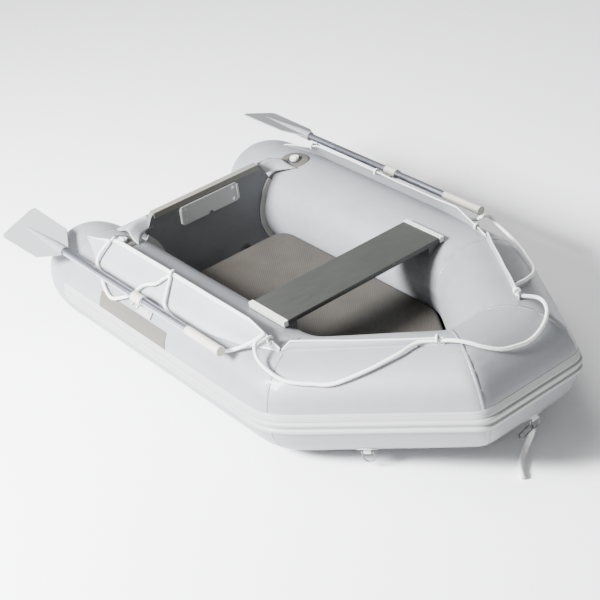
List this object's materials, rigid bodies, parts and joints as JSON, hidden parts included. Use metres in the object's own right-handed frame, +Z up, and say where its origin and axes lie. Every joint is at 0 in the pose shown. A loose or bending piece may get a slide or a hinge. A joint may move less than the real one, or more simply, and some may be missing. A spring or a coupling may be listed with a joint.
{
  "type": "inflatable dinghy",
  "caption": "Inflatable tender with angled bow tubes, rigid transom, air deck, bench seat, two oars on swivelling oarlocks and a grab line.",
  "frame": {"origin": "on the ground, below the middle of the overall length and width", "axes": "+X towards the bow, +Y to port, +Z up"},
  "size_m": [2.378, 1.4622, 0.5166],
  "materials": {
    "tube_fabric": "satin",
    "rail_rubber": "satin",
    "bottom_fabric": "satin",
    "deck_fabric": "matte",
    "transom_board": "satin",
    "transom_trim": "satin",
    "pad_plastic": "satin",
    "bolt_steel": "brushed",
    "flap_fabric": "satin",
    "patch_fabric": "matte",
    "base_rubber": "matte",
    "black_plastic": "satin",
    "cap_plastic": "satin",
    "oarlock_plastic": "satin",
    "shaft_aluminium": "satin",
    "blade_plastic": "satin",
    "grip_plastic": "satin",
    "seat_board": "satin",
    "seat_trim": "gloss",
    "ring_steel": "polished",
    "rope": "matte"
  },
  "bodies": {
    "hull": {"tube_side_starboard": "tube_fabric", "tube_side_port": "tube_fabric", "stern_end_starboard": "tube_fabric", "stern_end_port": "tube_fabric", "tube_bow_starboard": "tube_fabric", "tube_bow_port": "tube_fabric", "tube_bow_front": "tube_fabric", "air_baffle": "tube_fabric", "rub_rail_starboard": "rail_rubber", "rub_rail_port": "rail_rubber", "rub_rail_bow_starboard": "rail_rubber", "rub_rail_bow_port": "rail_rubber", "rub_rail_front": "rail_rubber", "bottom_fabric": "bottom_fabric", "keel_tube": "bottom_fabric", "air_deck": "deck_fabric", "deck_valve_body": "black_plastic", "transom_board": "transom_board", "transom_cap": "transom_trim", "motor_pad_inner": "pad_plastic", "motor_pad_outer": "pad_plastic", "pad_bolts": "bolt_steel", "transom_holder_starboard": "transom_trim", "transom_holder_port": "transom_trim", "transom_wings": "flap_fabric", "drain_body": "black_plastic", "valve_body_starboard": "black_plastic", "valve_body_port": "black_plastic", "flap_side_starboard": "flap_fabric", "flap_side_port": "flap_fabric", "flap_bow_starboard": "flap_fabric", "flap_bow_port": "flap_fabric", "flap_eyelets": "bolt_steel", "oarlock_patches": "patch_fabric", "oarlock_base_starboard": "base_rubber", "oarlock_base_port": "base_rubber", "seat_rests": "base_rubber", "ring_patches": "tube_fabric", "lifeline": "rope", "lifeline_hitches": "rope"},
    "seat": {"seat_board": "seat_board", "seat_end_caps": "seat_trim"},
    "oarlock_starboard": {"oarlock_starboard": "oarlock_plastic"},
    "oar_starboard": {"oar_shaft_starboard": "shaft_aluminium", "oar_blade_starboard": "blade_plastic", "oar_grip_starboard": "grip_plastic"},
    "oarlock_port": {"oarlock_port": "oarlock_plastic"},
    "oar_port": {"oar_shaft_port": "shaft_aluminium", "oar_blade_port": "blade_plastic", "oar_grip_port": "grip_plastic"},
    "tow_ring_bow": {"tow_ring_bow": "ring_steel", "painter_rope": "rope"},
    "carabiner": {"carabiner": "ring_steel"},
    "carabiner_gate": {"carabiner_gate": "ring_steel"},
    "tow_ring_starboard": {"tow_ring_starboard": "ring_steel"},
    "tow_ring_port": {"tow_ring_port": "ring_steel"},
    "valve_cap_starboard": {"valve_cap_starboard": "cap_plastic"},
    "valve_cap_port": {"valve_cap_port": "cap_plastic"},
    "deck_valve_cap": {"deck_valve_cap": "cap_plastic"},
    "drain_plug": {"drain_plug": "black_plastic"}
  },
  "joints": [
    {"name": "seat_lift", "type": "slide", "parent": "hull", "child": "seat", "axis": [0, 0, 1], "range_m": [0, 0.1]},
    {"name": "oarlock_swing_starboard", "type": "hinge", "parent": "hull", "child": "oarlock_starboard", "pos_m": [-0.245, -0.47, 0.2], "axis": [0, -0.6691, 0.7431], "range_deg": [0, 100]},
    {"name": "oar_feather_starboard", "type": "hinge", "parent": "oarlock_starboard", "child": "oar_starboard", "pos_m": [-0.245, -0.64397, 0.39322], "axis": [1, 0, 0], "range_deg": [-18, 50]},
    {"name": "oarlock_swing_port", "type": "hinge", "parent": "hull", "child": "oarlock_port", "pos_m": [-0.245, 0.47, 0.2], "axis": [0, -0.6691, -0.7431], "range_deg": [0, 100]},
    {"name": "oar_feather_port", "type": "hinge", "parent": "oarlock_port", "child": "oar_port", "pos_m": [-0.245, 0.64397, 0.39322], "axis": [1, 0, 0], "range_deg": [-50, 18]},
    {"name": "bow_ring_swing", "type": "hinge", "parent": "hull", "child": "tow_ring_bow", "pos_m": [1.11552, 0.05, 0.13194], "axis": [0, 1, 0], "range_deg": [-75, 0]},
    {"name": "carabiner_swing", "type": "hinge", "parent": "tow_ring_bow", "child": "carabiner", "pos_m": [1.11552, 0.0295, 0.10394], "axis": [1, 0, 0], "range_deg": [-15, 20]},
    {"name": "carabiner_gate_swing", "type": "hinge", "parent": "carabiner", "child": "carabiner_gate", "pos_m": [1.12652, -0.01058, 0.09081], "axis": [0, -0.342, 0.9397], "range_deg": [0, 18], "stiffness_Nm_per_rad": 0.02, "springref_deg": -5.73},
    {"name": "starboard_ring_swing", "type": "hinge", "parent": "hull", "child": "tow_ring_starboard", "pos_m": [0.76733, -0.42075, 0.0726], "axis": [0.8197, 0.5551, 0.1412], "range_deg": [-100, 45]},
    {"name": "port_ring_swing", "type": "hinge", "parent": "hull", "child": "tow_ring_port", "pos_m": [0.76733, 0.42075, 0.0726], "axis": [0.8197, -0.5551, 0.1412], "range_deg": [-45, 100]},
    {"name": "valve_cap_turn_starboard", "type": "hinge", "parent": "hull", "child": "valve_cap_starboard", "pos_m": [-0.655, -0.47, 0.2], "axis": [0, 0.1045, 0.9945], "range_deg": [0, 90]},
    {"name": "valve_cap_turn_port", "type": "hinge", "parent": "hull", "child": "valve_cap_port", "pos_m": [-0.655, 0.47, 0.2], "axis": [0, -0.1045, 0.9945], "range_deg": [0, 90]},
    {"name": "deck_valve_cap_turn", "type": "hinge", "parent": "hull", "child": "deck_valve_cap", "pos_m": [0.64, 0, 0.172], "axis": [0, 0, 1], "range_deg": [0, 90]},
    {"name": "drain_plug_pull", "type": "slide", "parent": "hull", "child": "drain_plug", "axis": [-1, 0, 0], "range_m": [0, 0.03]}
  ]
}
